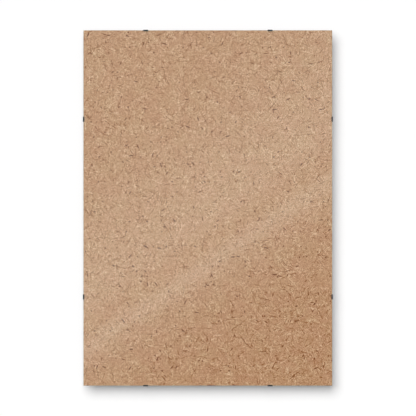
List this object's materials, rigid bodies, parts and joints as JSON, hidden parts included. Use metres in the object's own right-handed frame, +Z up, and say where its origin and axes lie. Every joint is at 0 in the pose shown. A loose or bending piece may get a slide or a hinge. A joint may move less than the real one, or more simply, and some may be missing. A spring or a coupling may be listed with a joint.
{
  "type": "frameless glass frame",
  "caption": "Frameless picture frame: a glass pane and a hardboard back gripped at their edges by sprung metal clips, with sawtooth hangers behind for hanging upright or sideways.",
  "frame": {"origin": "middle of the upper sawtooth hanger's back face, where it lies on the wall", "axes": "+Z up with the frame hung upright, +Y into the wall, so the glass faces -Y; +X right as seen from the front"},
  "size_m": [0.7032, 0.0093, 1.0032],
  "materials": {
    "glass": "clear float glass",
    "hardboard": "bare pressed fibre",
    "clip_steel": "blued spring steel",
    "hanger_steel": "zinc plated"
  },
  "bodies": {
    "frame": {"glass_pane": "glass", "back_board": "hardboard", "hanger_top": "hanger_steel", "hanger_side": "hanger_steel"},
    "clip_top_left": {"clip_top_left": "clip_steel"},
    "clip_top_right": {"clip_top_right": "clip_steel"},
    "clip_right_upper": {"clip_right_upper": "clip_steel"},
    "clip_right_lower": {"clip_right_lower": "clip_steel"},
    "clip_bottom_left": {"clip_bottom_left": "clip_steel"},
    "clip_bottom_right": {"clip_bottom_right": "clip_steel"},
    "clip_left_upper": {"clip_left_upper": "clip_steel"},
    "clip_left_lower": {"clip_left_lower": "clip_steel"}
  },
  "joints": [
    {"name": "clip_top_left_swing", "type": "hinge", "parent": "frame", "child": "clip_top_left", "pos_m": [-0.175, -0.0087, 0.0577], "axis": [1, 0, 0], "range_deg": [0, 60], "stiffness_Nm_per_rad": 0.02, "springref_deg": -20.05},
    {"name": "clip_top_right_swing", "type": "hinge", "parent": "frame", "child": "clip_top_right", "pos_m": [0.175, -0.0087, 0.0577], "axis": [1, 0, 0], "range_deg": [0, 60], "stiffness_Nm_per_rad": 0.02, "springref_deg": -20.05},
    {"name": "clip_right_upper_swing", "type": "hinge", "parent": "frame", "child": "clip_right_upper", "pos_m": [0.3477, -0.0087, -0.19], "axis": [0, 0, -1], "range_deg": [0, 60], "stiffness_Nm_per_rad": 0.02, "springref_deg": -20.05},
    {"name": "clip_right_lower_swing", "type": "hinge", "parent": "frame", "child": "clip_right_lower", "pos_m": [0.3477, -0.0087, -0.69], "axis": [0, 0, -1], "range_deg": [0, 60], "stiffness_Nm_per_rad": 0.02, "springref_deg": -20.05},
    {"name": "clip_bottom_left_swing", "type": "hinge", "parent": "frame", "child": "clip_bottom_left", "pos_m": [-0.175, -0.0087, -0.9377], "axis": [-1, 0, 0], "range_deg": [0, 60], "stiffness_Nm_per_rad": 0.02, "springref_deg": -20.05},
    {"name": "clip_bottom_right_swing", "type": "hinge", "parent": "frame", "child": "clip_bottom_right", "pos_m": [0.175, -0.0087, -0.9377], "axis": [-1, 0, 0], "range_deg": [0, 60], "stiffness_Nm_per_rad": 0.02, "springref_deg": -20.05},
    {"name": "clip_left_upper_swing", "type": "hinge", "parent": "frame", "child": "clip_left_upper", "pos_m": [-0.3477, -0.0087, -0.19], "axis": [0, 0, 1], "range_deg": [0, 60], "stiffness_Nm_per_rad": 0.02, "springref_deg": -20.05},
    {"name": "clip_left_lower_swing", "type": "hinge", "parent": "frame", "child": "clip_left_lower", "pos_m": [-0.3477, -0.0087, -0.69], "axis": [0, 0, 1], "range_deg": [0, 60], "stiffness_Nm_per_rad": 0.02, "springref_deg": -20.05}
  ]
}
